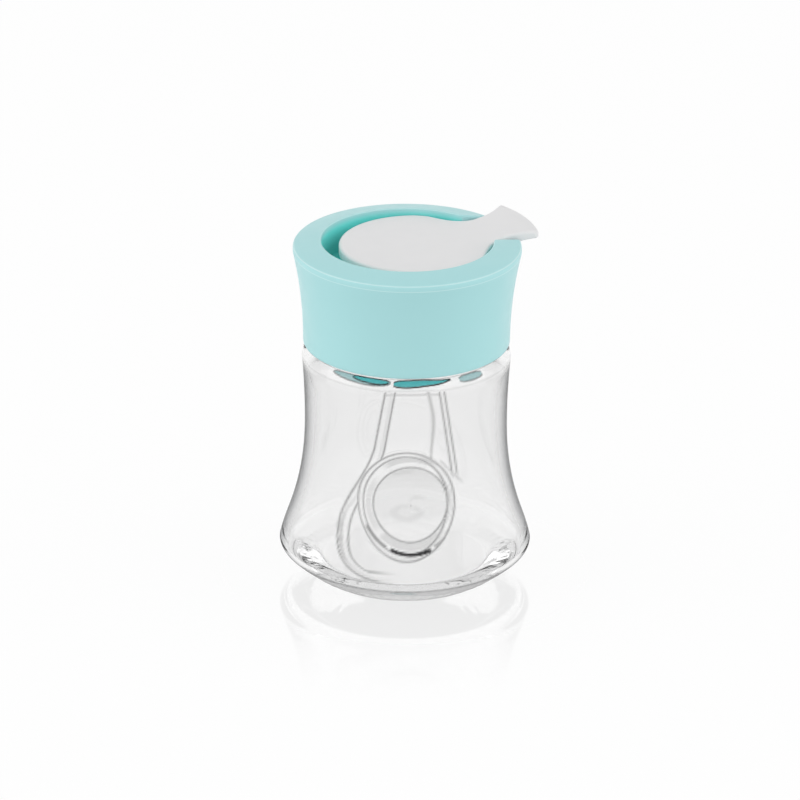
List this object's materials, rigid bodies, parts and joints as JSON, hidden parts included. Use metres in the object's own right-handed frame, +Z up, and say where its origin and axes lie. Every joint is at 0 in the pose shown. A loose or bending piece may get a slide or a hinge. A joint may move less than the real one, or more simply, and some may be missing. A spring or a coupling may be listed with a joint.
{
  "type": "salt shaker",
  "caption": "Flared clear glass jar with a screw-on flared plastic cap and a hinged flip lid with a thumb tab, for shaking salt through a perforated disc.",
  "frame": {"origin": "centre of the flat foot that the jar stands on", "axes": "+Z up along the jar's axis, +X towards the lid's thumb tab, +Y to the left of someone who looks along +X"},
  "size_m": [0.0614, 0.06, 0.0855],
  "materials": {
    "clear_glass": "clear moulded glass, fire polished",
    "silicone": "translucent matt silicone",
    "mint_plastic": "satin moulded plastic, mint",
    "white_plastic": "satin moulded plastic, white",
    "grey_white_plastic": "satin moulded plastic, pale grey-white"
  },
  "bodies": {
    "jar": {"glass_jar": "clear_glass"},
    "liner": {"neck_gasket": "silicone"},
    "cap": {"cap_collar": "mint_plastic", "sifter_disc": "white_plastic"},
    "lid": {"flip_lid": "grey_white_plastic"}
  },
  "joints": [
    {"name": "cap_lift", "type": "slide", "parent": "jar", "child": "liner", "axis": [0, 0, 1], "range_m": [0, 0.00289]},
    {"name": "cap_turn", "type": "hinge", "parent": "liner", "child": "cap", "pos_m": [0, 0, 0.0746], "axis": [0, 0, 1], "range_deg": [0, 324]},
    {"name": "lid_flip", "type": "hinge", "parent": "cap", "child": "lid", "pos_m": [-0.012, 0, 0.08035], "axis": [0, -1, 0], "range_deg": [0, 65]}
  ],
  "couplings": [
    {"joint": "cap_lift", "follows": "cap_turn", "m_per_rad": 0.0005093}
  ]
}
